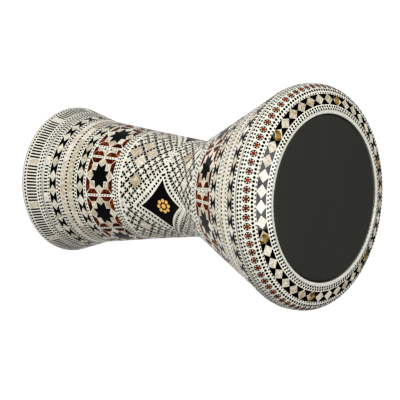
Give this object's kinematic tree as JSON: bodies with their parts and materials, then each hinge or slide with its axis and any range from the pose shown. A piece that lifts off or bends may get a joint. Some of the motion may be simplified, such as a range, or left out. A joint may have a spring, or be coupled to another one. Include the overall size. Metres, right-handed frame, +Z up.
{
  "type": "goblet drum",
  "caption": "Cast aluminium goblet drum with mosaic inlay all round; socket screws pull a tuning ring down on the head hoop and stretch the film over the bearing edge.",
  "frame": {"origin": "centre of the foot's bottom face", "axes": "+Z up along the drum's axis from the foot to the playing head; +X through the axis of tuning screw 1"},
  "size_m": [0.28, 0.28, 0.4504],
  "materials": {
    "cast_aluminium": "as-cast aluminium, turned and polished at the bare edges",
    "mosaic": "mother-of-pearl, bone and black tiles set in resin under clear lacquer",
    "black_lacquer": "black panel under clear lacquer",
    "gilt_brass": "polished gilt brass under clear lacquer",
    "head_film": "matte charcoal polyester film",
    "hoop_aluminium": "plain turned aluminium",
    "ring_aluminium": "cast aluminium with a satin lacquered lip",
    "sleeve_brass": "drawn brass, dulled inside",
    "washer_steel": "zinc-plated steel",
    "screw_steel": "bright steel"
  },
  "bodies": {
    "drum_body": {"shell_casting": "cast_aluminium", "foot_rim_inlay": "mosaic", "foot_band_inlay": "mosaic", "foot_star_inlay": "mosaic", "lattice_inlay": "mosaic", "bowl_star_inlay": "mosaic", "bowl_band_inlay": "mosaic", "diamond_panel_1": "black_lacquer", "diamond_panel_2": "black_lacquer", "diamond_panel_3": "black_lacquer", "gilt_rosettes": "gilt_brass", "head_film": "head_film"},
    "ring": {"tuning_ring": "ring_aluminium", "head_hoop": "hoop_aluminium", "bolt_sleeves": "sleeve_brass", "bolt_washers": "washer_steel", "ring_side_inlay": "mosaic", "ring_face_inlay": "mosaic"},
    "bolt_1": {"tuning_bolt_1": "screw_steel"},
    "bolt_2": {"tuning_bolt_2": "screw_steel"},
    "bolt_3": {"tuning_bolt_3": "screw_steel"},
    "bolt_4": {"tuning_bolt_4": "screw_steel"},
    "bolt_5": {"tuning_bolt_5": "screw_steel"},
    "bolt_6": {"tuning_bolt_6": "screw_steel"}
  },
  "joints": [
    {"name": "ring_lift", "type": "slide", "parent": "drum_body", "child": "ring", "axis": [0, 0, 1], "range_m": [-0.0015, 0.004]},
    {"name": "bolt_turn_1", "type": "hinge", "parent": "ring", "child": "bolt_1", "pos_m": [0.1215, 0, 0.42], "axis": [0, 0, 1], "range_deg": [-540, 1440]},
    {"name": "bolt_turn_2", "type": "hinge", "parent": "ring", "child": "bolt_2", "pos_m": [0.06075, 0.10522, 0.42], "axis": [0, 0, 1], "range_deg": [-540, 1440]},
    {"name": "bolt_turn_3", "type": "hinge", "parent": "ring", "child": "bolt_3", "pos_m": [-0.06075, 0.10522, 0.42], "axis": [0, 0, 1], "range_deg": [-540, 1440]},
    {"name": "bolt_turn_4", "type": "hinge", "parent": "ring", "child": "bolt_4", "pos_m": [-0.1215, 0, 0.42], "axis": [0, 0, 1], "range_deg": [-540, 1440]},
    {"name": "bolt_turn_5", "type": "hinge", "parent": "ring", "child": "bolt_5", "pos_m": [-0.06075, -0.10522, 0.42], "axis": [0, 0, 1], "range_deg": [-540, 1440]},
    {"name": "bolt_turn_6", "type": "hinge", "parent": "ring", "child": "bolt_6", "pos_m": [0.06075, -0.10522, 0.42], "axis": [0, 0, 1], "range_deg": [-540, 1440]}
  ],
  "couplings": [
    {"joint": "bolt_turn_1", "follows": "ring_lift", "rad_per_m": 6283.2},
    {"joint": "bolt_turn_2", "follows": "ring_lift", "rad_per_m": 6283.2},
    {"joint": "bolt_turn_3", "follows": "ring_lift", "rad_per_m": 6283.2},
    {"joint": "bolt_turn_4", "follows": "ring_lift", "rad_per_m": 6283.2},
    {"joint": "bolt_turn_5", "follows": "ring_lift", "rad_per_m": 6283.2},
    {"joint": "bolt_turn_6", "follows": "ring_lift", "rad_per_m": 6283.2}
  ]
}
